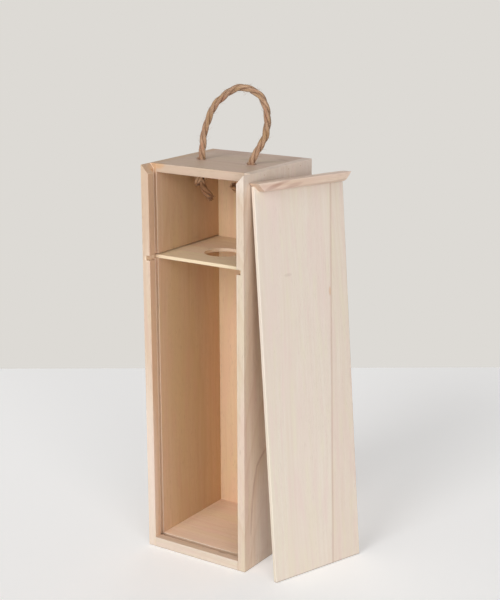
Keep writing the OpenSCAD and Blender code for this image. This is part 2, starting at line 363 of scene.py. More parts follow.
def wood(name, axes, timber, worn=False, sawn=False):
    """Raw paulownia. axes are the board's directions across, through and along the grain. A worn edge is
    paler, and a sawn face is rougher and browner."""
    made, n = new_material(name)
    place = n.add("ShaderNodeTexCoord", {})
    normal = place.outputs["Normal"]
    at = n.add("ShaderNodeMapping", {
        "Vector": place.outputs["Object"],
        "Rotation": Matrix([tuple(a) for a in axes]).to_euler(),
        "Scale": (1 / MM, 1 / MM, 1 / MM)}).outputs[0]
    grain = Grain(n, at, timber)
    colour = planed_colour(n, grain, timber, worn, sawn)
    # Painted light and shade: each face tint makes the faces that look one way lighter or darker, warmer or
    # cooler
    for way, tint, start, full in timber.faces:
        turned = n.between(n.along(normal, way), 0.6, 0.9)
        reached = n.between(n.along(at, (1, 0, 0)), start, full)
        colour = n.tinted(n.math("MULTIPLY", turned, reached), colour, tint)
    end_on = n.math("ABSOLUTE", n.along(normal, axes[2]))
    colour = n.tinted(n.between(end_on, 0.45, 0.9), colour, END_GRAIN)
    if timber.joint:
        across, slant = timber.joint
        off = n.vector("ADD", at, n.vector("MULTIPLY", grain.ripple, (GLUE_WAVER, 0, 0)))
        off = n.math("ABSOLUTE", n.math("SUBTRACT", n.along(off, (1, 0, -slant)), across))
        colour = n.tinted(n.between(off, GLUE_WIDE, 0.1, 0, GLUE_SHARE), colour, GLUE)
    # Painted contact shadow: the timber is darker close to the table
    if timber.foot:
        way, ground = timber.foot
        level = n.math("ADD", n.along(at, way), n.math("MULTIPLY", grain.fibre, FOOT_SHADOW_FRINGE))
        shade_painted = n.between(level, ground + FOOT_SHADOW_FROM, ground + FOOT_SHADOW_FULL, 0, FOOT_SHADOW_SHARE)
        colour = n.mix(shade_painted, colour, FOOT_SHADOW)
    in_case = n.millimetres()
    for mark in timber.marks:
        colour = marked(n, colour, in_case, grain.fibre, mark)
    smooth, rough = (0.5, 0.66) if worn else (0.58, 0.76)
    height = n.math("ADD", grain.fibre, n.math("MULTIPLY", grain.late, 0.35))
    height = n.math("SUBTRACT", height, grain.pores)
    n.surface({"Base Color": colour, "Roughness": n.between(grain.fibre, 0.2, 0.8, smooth, rough),
               "Specular IOR Level": 0.3}, height, SAWN_DEPTH if sawn else PLANED_DEPTH)
    return made


def lid_axes():
    """The lid's own directions: across, from its outer face inwards, and up along it."""
    across = Vector((math.cos(math.radians(LEAN_TURN)), math.sin(math.radians(LEAN_TURN)), 0))
    corners = np.array([v.co for v in frame["nodes"]["lid_wide_stave"].data.vertices])
    foot = Vector(((CASE_W / 2 + LEAN_OUT) * MM, (-CASE_D / 2 - LEAN_AHEAD) * MM, 0))
    inwards = Vector((-across.y, across.x, 0))
    away = (corners - np.array(foot)) @ np.array(inwards)
    top = corners[:, 2].max()
    lean = math.atan2(away[corners[:, 2] > top - 0.01 * MM].min(), top)
    along = Vector((inwards.x * math.sin(lean), inwards.y * math.sin(lean), math.cos(lean)))
    return across, along.cross(across), along


def joint_across(node, axes):
    """Where the stave's further edge lies across the grain, and its slant. They come from the corners within
    a millimetre of its two ends."""
    corners = np.array([v.co for v in frame["nodes"][node].data.vertices]) / MM
    across, along = corners @ np.array(axes[0]), corners @ np.array(axes[2])
    foot = across[along < along.min() + 1].max()
    slant = (across[along > along.max() - 1].max() - foot) / (along.max() - along.min())
    return foot - slant * along.min(), slant


# A grain line's marks are this many times as long as their parts of the line
LINE_OVERLAP = 1.7


def grain_line(points, width, colour, share):
    """Marks that follow a line drawn on the right side, through places towards the back and heights."""
    made = []
    for (y0, z0), (y1, z1) in zip(points, points[1:]):
        middle = (CASE_W / 2, (y0 + y1) / 2, (z0 + z1) / 2)
        length = math.hypot(y1 - y0, z1 - z0) * LINE_OVERLAP
        made.append((middle, (0, y1 - y0, z1 - z0), length, width, colour, share))
    return made


# Directions across, through and along the grain
SIDE = (BACK, -ACROSS, UP)
LEVEL = (BACK, UP, ACROSS)
PANEL = (ACROSS, BACK, UP)
LID = lid_axes()
LID_HEAD = (LID[1], LID[2], LID[0])

# Single marks of the photograph's boards: place, direction, length, width, colour and share
RED = srgb(176, 130, 112)
RUSSET = srgb(186, 136, 108)
ORANGE = srgb(214, 166, 116)
BROWN = srgb(150, 118, 96)
TAN = srgb(196, 160, 132)
BUFF = srgb(252, 232, 205)
SAND = srgb(250, 230, 205)
CREAM = srgb(255, 249, 243)
CORNER_SPOT = ((-43, -41.5, 349.5), (1, 0, 0), 15, 9, ORANGE, 0.6)
CUT_SPOT = ((-45, -44, 349), (0, 1, 0), 16, 12, ORANGE, 0.5)
CRACK = ((49, -5.5, 350), (1, 0.35, 0), 9, 1.6, BROWN, 0.7)
FOOT_MARK = ((18, -6, 350), (1, 0.05, 0), 16, 1.6, BROWN, 0.5)
TOP_SMUDGES = [
    ((36, 32, 350), (1, -0.3, 0), 16, 6, BROWN, 0.3),
    ((12, 17, 350), (1, 0.1, 0), 22, 5, BROWN, 0.22),
]
LEFT_MARKS = [
    ((-49, -53.5, 318), UP, 100, 16, TAN, 0.3),
    ((-50, -53.5, 60), UP, 240, 16, CREAM, 0.3),
    # Painted light in the divider's slot notch, which is dark with shade
    ((-48, -49, 268.8), BACK, 20, 6, BUFF, 0.6),
    # Painted light along the lid's groove behind the lip, which is dark with shade
    ((-48.3, -43.4, 130), UP, 440, 6, SAND, 0.5),
]
# A red streak of the timber, and the lid's painted shadow on the side face
SIDE_STREAK_AND_LID_SHADE = [
    ((52.5, -45.5, 302), UP, 56, 7, RED, 0.15),
    # Partly the timber's red streaks, partly a painted shadow of the lid beside its edge
    ((52.5, -41, 205), UP, 200, 18, RUSSET, 0.3),
]
SIDE_TOP_PALE = ((52.5, 0, 350), BACK, 220, 40, CREAM, 0.32)
# Painted light low on the side face, lightening the shade of the lid
SIDE_FOOT_PAINTED_LIGHT = ((52.5, -12, 20), UP, 170, 56, CREAM, 0.35)
SIDE_LEG = grain_line(
    [(-21.3, 103.8), (-27.7, 99.4), (-34, 93.1), (-38.8, 78), (-42, 54.9), (-43.7, 36.7)], 3.2, RED, 0.32)
STRIP_MARKS = [
    ((70.7, -35.3, 340.5), (0.31, 0.94, 0.19), 19, 3.8, RED, 0.5),
    ((77.4, -16, 339.5), (0.31, 0.94, 0.12), 20, 3.8, RED, 0.36),
    ((74, -26, 343), (0.31, 0.94, 0.2), 26, 3, RED, 0.3),
]
# Darker brown spots in the bottom board's groove
GROOVE_BROWN_SPOTS = [
    ((24, -46, 8), (1, 0.1, 0), 11, 5, BROWN, 0.6),
    ((-44, -44, 8.5), BACK, 6, 5, BROWN, 0.7),
    ((-12, -46, 8), ACROSS, 34, 3, BROWN, 0.3),
]
LID_SPOT = ((90.2, 22.8, 242.9), LID[2], 9, 2.6, ORANGE, 0.45)
LID_KNOT = ((73.8, -19, 263.5), LID[0], 9, 3.2, BROWN, 0.15)

# What stands on the table: the direction and the level of its foot
STANDING = ((0, 0, 1), 0)
BOTTOM_STANDING = ((0, 1, 0), 0)
LID_JOINT = joint_across("lid_wide_stave", LID)
LID_FOOT = min(v.co @ LID[2] for v in frame["nodes"]["lid_wide_stave"].data.vertices) / MM
LID_STANDING = ((0, 0, 1), LID_FOOT)

# Where across a face's painted light or shade starts and is full, when the whole board has it
EVERYWHERE = (-61, -60)

# Each board: its node, its directions and its timber
BOARDS = [
    # Painted shade and light: its tints make the inner wall darker and warmer away from the front, lighter
    # again near the back, and its outer face lighter and cooler
    ("left_side_board", SIDE, Timber(
        tint=(0.88, 0.79, 0.71), pith=(-10, -60), ring=5.0, shift=30, foot=STANDING,
        faces=[(ACROSS, (1.0, 0.88, 0.78), *EVERYWHERE), (ACROSS, (0.75, 0.73, 0.63), -60, -10),
               (ACROSS, (1.2, 1.2, 1.2), 15, 50), (-ACROSS, (1.08, 1.12, 1.17), *EVERYWHERE)],
        marks=[CUT_SPOT, *LEFT_MARKS])),
    # Painted shade: its front face is darker and cooler than its side face
    ("right_side_front_stave", SIDE, Timber(
        tint=(1.0, 0.92, 0.86), pith=(-15, -22.5), ring=12, taper=0.25, offset=2.2, sway=5, contrast=1.6,
        warmth=0.6, shift=700, foot=STANDING,
        faces=[(-BACK, (0.88, 0.92, 0.93), *EVERYWHERE)],
        marks=[CRACK, SIDE_TOP_PALE, SIDE_FOOT_PAINTED_LIGHT, *SIDE_STREAK_AND_LID_SHADE, *SIDE_LEG])),
    ("right_side_rear_stave", SIDE, Timber(
        tint=(0.95, 0.86, 0.83), pith=(90, -100), ring=6.0, contrast=0.8, warmth=0.7, shift=1300,
        foot=STANDING, marks=[SIDE_TOP_PALE])),
    # Painted shade: the top boards' tints are darker than the others' for the shade on the up-facing top, and
    # this front face is a little darker still
    ("top_front_stave", LEVEL, Timber(
        tint=(0.79, 0.68, 0.62), pith=(-30, 420), shift=210, joint=(-3.5, 0),
        faces=[(-BACK, (0.965, 0.99, 0.985), *EVERYWHERE)],
        marks=[CORNER_SPOT, FOOT_MARK])),
    # Painted shade: a darker tint for the shade on the up-facing top
    ("top_rear_stave", LEVEL, Timber(
        tint=(0.785, 0.68, 0.63), pith=(60, 440), ring=5.0, shift=860, marks=TOP_SMUDGES)),
    # Painted light: its front face is lighter and cooler, and its upper face lighter from the groove back
    ("bottom_board", LEVEL, Timber(
        tint=(0.9, 0.82, 0.76), pith=(20, -90), ring=5.0, shift=1500, foot=BOTTOM_STANDING,
        faces=[(-BACK, (1.0, 1.08, 1.14), *EVERYWHERE), (UP, (1.2, 1.2, 1.2), -42, -41)],
        marks=GROOVE_BROWN_SPOTS)),
    # Painted light: its inner face is lighter and warmer
    ("back_panel", PANEL, Timber(
        tint=(0.99, 0.91, 0.83), pith=(10, 160), ring=6.0, warmth=0.8, shift=420,
        faces=[(-BACK, (1.1, 1.044, 0.88), *EVERYWHERE)])),
    ("divider_front_stave", LEVEL, Timber(tint=(1.05, 1.0, 0.85), pith=(-20, 200), ring=5.0, shift=640)),
    ("divider_rear_stave", LEVEL, Timber(tint=(1.0, 0.92, 0.77), pith=(70, 190), ring=4.0, shift=980)),
    ("lid_wide_stave", LID, Timber(
        tint=(1.02, 1.035, 1.055), pith=(30, -190), ring=9.0, ringed=0.2, contrast=0.6, pored=0.08,
        shift=110, joint=LID_JOINT, foot=LID_STANDING, marks=[LID_SPOT, LID_KNOT])),
    ("lid_narrow_stave", LID, Timber(
        tint=(0.995, 0.995, 1.0), pith=(160, -40), ringed=0.2, contrast=0.6, pored=0.08, shift=1900,
        joint=LID_JOINT, foot=LID_STANDING, marks=[LID_SPOT])),
    ("lid_head_strip", LID_HEAD, Timber(
        tint=(0.98, 0.885, 0.85), pith=(-20, 330), ring=4.0, contrast=1.5, warmth=0.7, straw=0.3,
        shift=275, marks=STRIP_MARKS)),
]

# Radii of the eased edges: free ones, those of narrow faces, and those beside another board
EDGE_ROUND = 0.45 * MM
NARROW_ROUND = 0.2 * MM
TIGHT_ROUND = 0.04 * MM

# A board closer than this to an edge lies beside it, and edges shorter or blunter than these stay as they are
TOUCH = 0.08 * MM
LEAST_EDGE = 0.3 * MM
LEAST_BEND = math.radians(30)


def welded(node):
    """The node's mesh as a bmesh with its flat faces whole."""
    made = bmesh.new()
    made.from_mesh(frame["nodes"][node].data)
    bmesh.ops.remove_doubles(made, verts=made.verts, dist=1e-6)
    bmesh.ops.dissolve_limit(made, angle_limit=math.radians(0.5), verts=made.verts, edges=made.edges)
    return made


def link(name, data, materials):
    made = bpy.data.objects.new(name, data)
    bpy.context.scene.collection.objects.link(made)
    for material in materials:
        data.materials.append(material)
    return made


def nearest_gap(edge, other):
    """Distance from the other edge's ends and middle to this edge."""
    a, b = edge.verts[0].co, edge.verts[1].co
    c, d = other.verts[0].co, other.verts[1].co
    gaps = []
    for p in (c, d, (c + d) / 2):
        on, share = intersect_point_line(p, a, b)
        on = a if share < 0 else b if share > 1 else on
        gaps.append((p - on).length)
    return min(gaps)


def is_narrow(edge):
    """Whether a face beside this edge has no room for two full roundings."""
    for face in edge.link_faces:
        for other in face.edges:
            if not set(edge.verts) & set(other.verts) and other.calc_length() > LEAST_EDGE:
                if min(nearest_gap(edge, other), nearest_gap(other, edge)) < 2.2 * EDGE_ROUND:
                    return True
    return False


def round_edges(shape, edges, radius, steps):
    """Rounds these edges, and gives the new faces the second material."""
    edges = [e for e in edges if e.is_valid]
    made = bmesh.ops.bevel(shape, geom=edges, offset=radius, segments=steps, profile=0.5, affect="EDGES",
                           clamp_overlap=False)
    for face in made["faces"]:
        face.smooth = True
        face.material_index = 1


def in_groove(place):
    """Whether that place of the case lies in the lid's groove or the divider's slots."""
    aside = abs(place.x) > CASE_W / 2 - SIDE_T + 0.05
    groove = GROOVE[0] - 0.1 < place.y < GROOVE[1] + 0.1 and (aside or place.z < BOTTOM_T - 0.05)
    slot = aside and abs(place.x) < CASE_W / 2 - 0.1 and SLOT[0] - 0.5 < place.z < SLOT[1] + 0.5
    return place.x < CASE_W / 2 + 1 and (groove or slot)


def make_board(node, axes, timber, others):
    """The board with eased edges, and hardly any at its glued joints. others are the other boards' trees."""
    shape = welded(node)
    tight, narrow, free = [], [], []
    for edge in shape.edges:
        if len(edge.link_faces) != 2 or edge.calc_length() < LEAST_EDGE:
            continue
        if edge.calc_face_angle() < LEAST_BEND:
            continue
        middle = (edge.verts[0].co + edge.verts[1].co) / 2
        held = any(tree.find_nearest(middle, TOUCH)[0] is not None for tree in others)
        (tight if held else narrow if is_narrow(edge) else free).append(edge)
    round_edges(shape, free, EDGE_ROUND, 3)
    round_edges(shape, narrow, NARROW_ROUND, 2)
    round_edges(shape, tight, TIGHT_ROUND, 1)
    for face in shape.faces:
        if face.material_index == 0 and in_groove(face.calc_center_median() / MM):
            face.material_index = 2
    data = bpy.data.meshes.new(node + "_wood")
    shape.to_mesh(data)
    shape.free()
    made = link(node + "_wood", data, [
        wood(node + "_face", axes, timber),
        wood(node + "_edge", axes, timber, worn=True),
        wood(node + "_groove", axes, timber, sawn=True)])
    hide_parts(node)
    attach(made, frame["nodes"][node]["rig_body"])


def make_boards():
    trees = {}
    for node, _, _ in BOARDS:
        shape = welded(node)
        trees[node] = BVHTree.FromBMesh(shape)
        shape.free()
    for node, axes, timber in BOARDS:
        make_board(node, axes, timber, [tree for name, tree in trees.items() if name != node])


make_boards()

# The rope's route in millimetres. Its arch is given by places across and heights above the top
ROPE_D = 6
ROPE_SPAN = 52
ROPE_Y = -1
ARCH = [
    (-26, 3.3), (-25.5, 8), (-24.5, 16), (-23, 24.5), (-19.5, 33), (-16, 41), (-11, 48.5), (-4, 54.5),
    (4.5, 60.5), (14, 64), (20, 64), (26.5, 62.5), (33, 59.5), (37.5, 54.5), (40.5, 48), (41.5, 40), (41, 31),
    (39.5, 24.5), (36, 18.5), (32, 12.5), (28.5, 7), (26, 3.3),
]
ROPE_STEP = 0.5

# The lay: three strands, each of that radius and that far from the rope's middle
STRANDS = 3
STRAND_R = 1.85
STRAND_OUT = 1.25
LAY_PITCH = 34
STRAND_SIDES = 18

# Where the rope is knotted it is squeezed to this diameter
KNOT_ROPE_D = 4.7
KNOT_STEP = 1.4

# The loose knot: its size, and how far its curve reaches to both sides
LOOSE_KNOT = 4.6
LOOSE_REACH = 2.15

# Drawing the knot tight: at most so many turns, the pull on each end and the passes that keep its lengths in
# each turn, and the stretch that ends it
KNOT_TURNS = 2500
KNOT_PULL = 0.03
KNOT_PASSES = 8
KNOT_STRETCH = 1.1

# Each end: which hole, how its knot is turned and tilted, and its tail's directions and length
ROPE_ENDS = [
    dict(side=-1, turn=60, lean=0, ways=[(0.7, 0, -0.6), (0.7, 0, -0.75)], tail=13),
    dict(side=1, turn=150, lean=12, tail=19,
         ways=[(-1, -0.1, 0), (-1, -0.3, 0.35), (-0.75, -0.3, 0.8), (-0.6, -0.3, 0.9)]),
]

# Loose fibres: those of each strand's frayed end, those all along the rope, and the tuft beside each foot
FRAY_LENGTH = 9
FRAYED = 22
STRAYS = 520
TUFT = 34
ANY_PHASE = 6.28


def evenly(points, step):
    """The same line with its points that far apart."""
    along = np.r_[0, np.cumsum(np.linalg.norm(np.diff(points, axis=0), axis=1))]
    at = np.linspace(0, along[-1], round(along[-1] / step) + 1)
    return np.stack([np.interp(at, along, points[:, k]) for k in range(points.shape[1])], 1)


def through(points, steps):
    """A smooth curve through the points."""
    made = []
    for k in range(len(points) - 1):
        a, b, c, d = points[max(k - 1, 0)], points[k], points[k + 1], points[min(k + 2, len(points) - 1)]
        for t in np.arange(steps) / steps:
            cube = (3 * b - a - 3 * c + d) * t ** 3
            made.append(0.5 * (2 * b + (c - a) * t + (2 * a - 5 * b + 4 * c - d) * t ** 2 + cube))
    return np.array(made + [points[-1]])


def unit(v):
    return v / np.linalg.norm(v, axis=-1, keepdims=True)


def tied_knot():
    """An overhand knot drawn tight, from the rope's part above it to its tail below. A loose knot's ends are
    pulled apart, while the rope keeps its length and doesn't pass through itself, until it stretches."""
    t = np.linspace(-LOOSE_REACH, LOOSE_REACH, 400)
    loose = np.stack([t ** 4 - 4 * t ** 2, (t ** 5 - 10 * t) * 0.18, t ** 3 - 3 * t], 1) * LOOSE_KNOT
    p = evenly(loose, KNOT_STEP)[::-1].copy()
    i, j = np.triu_indices(len(p), math.ceil(KNOT_ROPE_D * 1.35 / KNOT_STEP))
    for turn in range(KNOT_TURNS):
        p[0, 2] += KNOT_PULL
        p[-1, 2] -= KNOT_PULL
        p[[0, -1], :2] *= 0.995
        for _ in range(KNOT_PASSES):
            step = p[1:] - p[:-1]
            fix = step * (1 - KNOT_STEP / np.linalg.norm(step, axis=1, keepdims=True)) * 0.5
            p[1:-1] += fix[1:] - fix[:-1]
            apart = p[j] - p[i]
            length = np.linalg.norm(apart, axis=1)
            near = length < KNOT_ROPE_D
            push = apart[near] * ((KNOT_ROPE_D / length[near] - 1) * 0.3)[:, None]
            np.add.at(p, i[near], -push)
            np.add.at(p, j[near], push)
        p[1:-1] += 0.12 * ((p[:-2] + p[2:]) / 2 - p[1:-1])
        if turn > 500 and np.linalg.norm(np.diff(p, axis=0), axis=1).mean() > KNOT_STEP * KNOT_STRETCH:
            break
    return p


def rope_end(knot, side, turn, lean, ways, tail):
    """The route from the top of a hole down into the knot under it and out in the tail, with a fourth number
    that says how far the rope is squeezed."""
    c, s = math.cos(math.radians(turn)), math.sin(math.radians(turn))
    p = knot @ np.array([[c, s, 0], [-s, c, 0], [0, 0, 1]])
    c, s = math.cos(math.radians(lean)), math.sin(math.radians(lean))
    p = p @ np.array([[c, 0, -s], [0, 1, 0], [s, 0, c]])
    i, j = np.triu_indices(len(p), 6)
    touching = np.linalg.norm(p[i] - p[j], axis=1) < KNOT_ROPE_D * 1.08
    first, last = i[touching].min(), j[touching].max()
    top = p[first + 2:last - 1, 2].max() + KNOT_ROPE_D / 2
    enter = np.where(p[:first + 3, 2] > top)[0].max()
    ceiling = CASE_H - TOP_T
    p = p + np.array([side * ROPE_SPAN / 2 - p[enter, 0], ROPE_Y - p[enter, 1], ceiling - top])
    heights = np.arange(CASE_H + 1, ceiling + 1, -KNOT_STEP)
    hole = np.stack([np.full_like(heights, side * ROPE_SPAN / 2), np.full_like(heights, ROPE_Y), heights], 1)
    way = unit(p[last + 1] - p[last - 1])
    loose = [p[last + 1]]
    goals = through(unit(np.array(ways, float)), 8)
    for k in range(int(tail / KNOT_STEP)):
        way = unit(way * 0.7 + goals[int(k * KNOT_STEP / tail * (len(goals) - 1))] * 0.3)
        loose.append(loose[-1] + way * KNOT_STEP)
    route = np.concatenate([hole, p[enter + 1:last + 1], loose])
    squeezed = np.r_[np.zeros(len(hole)), np.ones(last - enter), np.zeros(len(loose))]
    return np.column_stack([route, squeezed])


def rope_route():
    """The whole rope from its left tail to its right one: places, and the share of its full thickness."""
    knot = tied_knot()
    left, right = [rope_end(knot, **end) for end in ROPE_ENDS]
    arch = through(np.array([(x, ROPE_Y, CASE_H + h, 0) for x, h in ARCH], float), 6)
    whole = evenly(np.concatenate([left[::-1], arch[2:-2], right]), ROPE_STEP)
    for _ in range(12):
        whole[1:-1] += 0.5 * ((whole[:-2] + whole[2:]) / 2 - whole[1:-1])
    squeeze = whole[:, 3]
    for _ in range(30):
        squeeze[1:-1] = (squeeze[:-2] + 2 * squeeze[1:-1] + squeeze[2:]) / 4
    return whole[:, :3], 1 - squeeze * (1 - KNOT_ROPE_D / ROPE_D)


def carried_frames(route):
    """Two directions square to the route at each point, carried along it without twist."""
    ways = unit(np.gradient(route, axis=0))
    across = [unit(np.cross(ways[0], (0, 1, 0)))]
    for way in ways[1:]:
        across.append(unit(across[-1] - way * (across[-1] @ way)))
    across = np.array(across)
    return ways, across, np.cross(ways, across)


class Bundle:
    """Tubes collected into one mesh. Each point also keeps its place in the straight, unlaid rope, in
    millimetres."""

    def __init__(self):
        self.places, self.fibres, self.faces, self.count = [], [], [], 0

    def tube(self, rings, fibres):
        """rings and fibres: steps by sides by three."""
        steps, sides, _ = rings.shape
        self.places.append(rings.reshape(-1, 3))
        self.fibres.append(fibres.reshape(-1, 3))
        base = self.count
        for a in range(steps - 1):
            for b in range(sides):
                c = (b + 1) % sides
                self.faces.append((base + a * sides + b, base + a * sides + c,
                                   base + (a + 1) * sides + c, base + (a + 1) * sides + b))
        self.faces.append(tuple(base + b for b in reversed(range(sides))))
        self.faces.append(tuple(base + (steps - 1) * sides + b for b in range(sides)))
        self.count += steps * sides

    def thin(self, line, thick, tip, root, sides=3):
        """A fibre along a line. tip is the share of its radius at its tip, and root is where it grows in the
        unlaid rope."""
        ways = unit(np.gradient(line, axis=0))
        across = unit(np.cross(ways, unit(np.array([0.3, 0.5, 0.81]))))
        other = np.cross(ways, across)
        angle = np.arange(sides) * 2 * math.pi / sides
        ring = across[:, None] * np.cos(angle)[None, :, None] + other[:, None] * np.sin(angle)[None, :, None]
        rings = line[:, None] + ring * np.linspace(thick, thick * tip, len(line))[:, None, None]
        along = np.r_[0, np.cumsum(np.linalg.norm(np.diff(line, axis=0), axis=1))]
        fibres = np.repeat(np.array(root)[None] + along[:, None] * np.array([[0, 0, 1.0]]), sides, 0)
        self.tube(rings, fibres.reshape(rings.shape))

    def mesh(self, name):
        data = bpy.data.meshes.new(name)
        data.from_pydata((np.concatenate(self.places) * MM).tolist(), [], self.faces)
        data.attributes.new("fibre", "FLOAT_VECTOR", "POINT").data.foreach_set(
            "vector", np.concatenate(self.fibres).astype(np.float32).ravel())
        for face in data.polygons:
            face.use_smooth = True
        data.update()
        return data


class Rope:
    """The rope's route with its directions. fray is 1 at the very ends and 0 further in."""

    def __init__(self):
        self.route, self.size = rope_route()
        self.ways, self.across, self.other = carried_frames(self.route)
        self.along = np.arange(len(self.route)) * ROPE_STEP
        self.from_end = np.minimum(self.along, self.along[-1] - self.along)
        self.fray = np.clip(1 - self.from_end / FRAY_LENGTH, 0, 1) ** 2

    def strand(self, number, draw):
        """One strand's rings along the route, and their places in the unlaid rope."""
        along = self.along
        turn = number * 2 * math.pi / STRANDS - 2 * math.pi * along / LAY_PITCH
        out = STRAND_OUT * (1 + 0.55 * self.fray)
        around = np.arange(STRAND_SIDES) * 2 * math.pi / STRAND_SIDES
        lumps = np.ones((len(along), STRAND_SIDES))
        for lobes, amount in ((3, 0.035), (5, 0.05), (7, 0.035)):
            first = draw.uniform(0, ANY_PHASE)
            drift = first + 1.2 * np.sin(along / draw.uniform(9, 17) + draw.uniform(0, ANY_PHASE))
            lumps += amount * np.sin(lobes * around[None] + drift[:, None])
        swell = 1 + 0.03 * np.sin(along / 5.3 + draw.uniform(0, ANY_PHASE))
        swell += 0.02 * np.sin(along / 2.1 + draw.uniform(0, ANY_PHASE))
        radius = STRAND_R * (1 - 0.25 * self.fray)[:, None] * swell[:, None] * lumps
        x = (out * np.cos(turn))[:, None] + radius * np.cos(around)[None]
        y = (out * np.sin(turn))[:, None] + radius * np.sin(around)[None]
        square = self.across[:, None] * x[..., None] + self.other[:, None] * y[..., None]
        rings = self.route[:, None] + self.size[:, None, None] * square
        return rings, np.stack([x, y, np.broadcast_to(along[:, None], x.shape)], 2)


def bent_line(start, way, length, bend, draw, steps=5):
    """A short line that leaves along way and bends at random."""
    turn = np.array([draw.gauss(0, bend) for _ in range(3)])
    line = [np.array(start, float)]
    for k in range(steps):
        way = unit(way + turn * (k + 1) / steps)
        line.append(line[-1] + way * length / steps)
    return np.array(line)


def fray_end(bundle, around, fibres, outwards, draw):
    """Loose fibres in the end of one strand. around is its last ring, and outwards points out of the rope."""
    middle = around.mean(0)
    for _ in range(FRAYED):
        pick = draw.randrange(STRAND_SIDES)
        edge = around[pick]
        start = middle + (edge - middle) * draw.uniform(0.1, 0.85) - outwards * 0.8
        flare = unit(outwards + (edge - middle) * draw.uniform(0.05, 0.4))
        line = bent_line(start, flare, draw.uniform(1.8, 4.6), 0.2, draw)
        thick = draw.uniform(0.16, 0.36)
        root = fibres[pick] * (1, 1, 0) * draw.uniform(0.9, 1.6) + (0, 0, draw.uniform(0, 90))
        bundle.thin(line, thick, 0.35, root, sides=5)


def stray_fibres(bundle, rope, draw):
    """Thin fibres that stand off the rope, but not in its holes."""
    route, size = rope.route, rope.size
    in_hole = (route[:, 2] < CASE_H + 1) & (route[:, 2] > CASE_H - TOP_T - 2) & (size > 0.9)
    free = list(np.where(~in_hole & (rope.from_end > 1))[0])
    for _ in range(STRAYS):
        at = draw.choice(free)
        angle = draw.uniform(0, 2 * math.pi)
        out = rope.across[at] * math.cos(angle) + rope.other[at] * math.sin(angle)
        side = np.cross(rope.ways[at], out)
        start = route[at] + out * (STRAND_OUT + STRAND_R) * size[at] * 0.86
        way = rope.ways[at] * draw.choice((-1, 1)) * draw.uniform(0.5, 1.2) + out * draw.uniform(0.15, 0.9)
        way = unit(way + side * draw.uniform(-0.5, 0.5))
        line = bent_line(start, way, draw.uniform(1.5, 6.5), 0.22, draw)
        bundle.thin(line, draw.uniform(0.035, 0.085), 0.4, (3, 0, rope.along[at]))


def foot_tufts(bundle, draw):
    """Short fibres that lie on the top board to the left of the rope's two feet."""
    for side in (-1, 1):
        for _ in range(TUFT):
            start = (side * ROPE_SPAN / 2 - draw.uniform(1.6, 2.7), ROPE_Y + draw.uniform(-2.4, 0.6),
                     CASE_H + draw.uniform(0.2, 1.6))
            way = unit(np.array([-1, draw.uniform(-0.5, 0.5), draw.uniform(-0.3, 0.25)]))
            line = bent_line(start, way, draw.uniform(1.0, 2.6), 0.12, draw)
            line[:, 2] = np.maximum(line[:, 2], CASE_H + 0.15)
            thick = draw.uniform(0.14, 0.26)
            bundle.thin(line, thick, 0.4, (3, 0, draw.uniform(0, 90)), sides=5)


def make_rope():
    """One jute rope of three strands, with a knot under each hole, frayed tails and stray fibres."""
    draw = random.Random(7)
    rope = Rope()
    bundle = Bundle()
    for number in range(STRANDS):
        rings, fibres = rope.strand(number, draw)
        bundle.tube(rings, fibres)
        for end, sign in ((0, -1), (-1, 1)):
            fray_end(bundle, rings[end], fibres[end], sign * rope.ways[end], draw)
    stray_fibres(bundle, rope, draw)
    foot_tufts(bundle, draw)
    made = link("jute_rope", bundle.mesh("jute_rope"), [jute()])
    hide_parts("handle_rope", "left_rope_end", "right_rope_end")
    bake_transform(made)


# Colours of the jute. The sixth paints warm light on the rope in the case. The last three paint shade:
# between the strands, on the left tail and on the right knot, the last two as tints
JUTE_DARK = srgb(140, 102, 76)
JUTE = srgb(184, 149, 120)
JUTE_PALE = srgb(206, 174, 146)
JUTE_RED = srgb(176, 120, 92)
JUTE_GREEN = srgb(172, 138, 92)
JUTE_WARM_LIGHT = srgb(232, 190, 146)
JUTE_CREVICE_SHADE = srgb(112, 74, 50)
TAIL_SHADE = srgb(168, 138, 108)
SHADED_KNOT = (0.86, 0.76, 0.64)


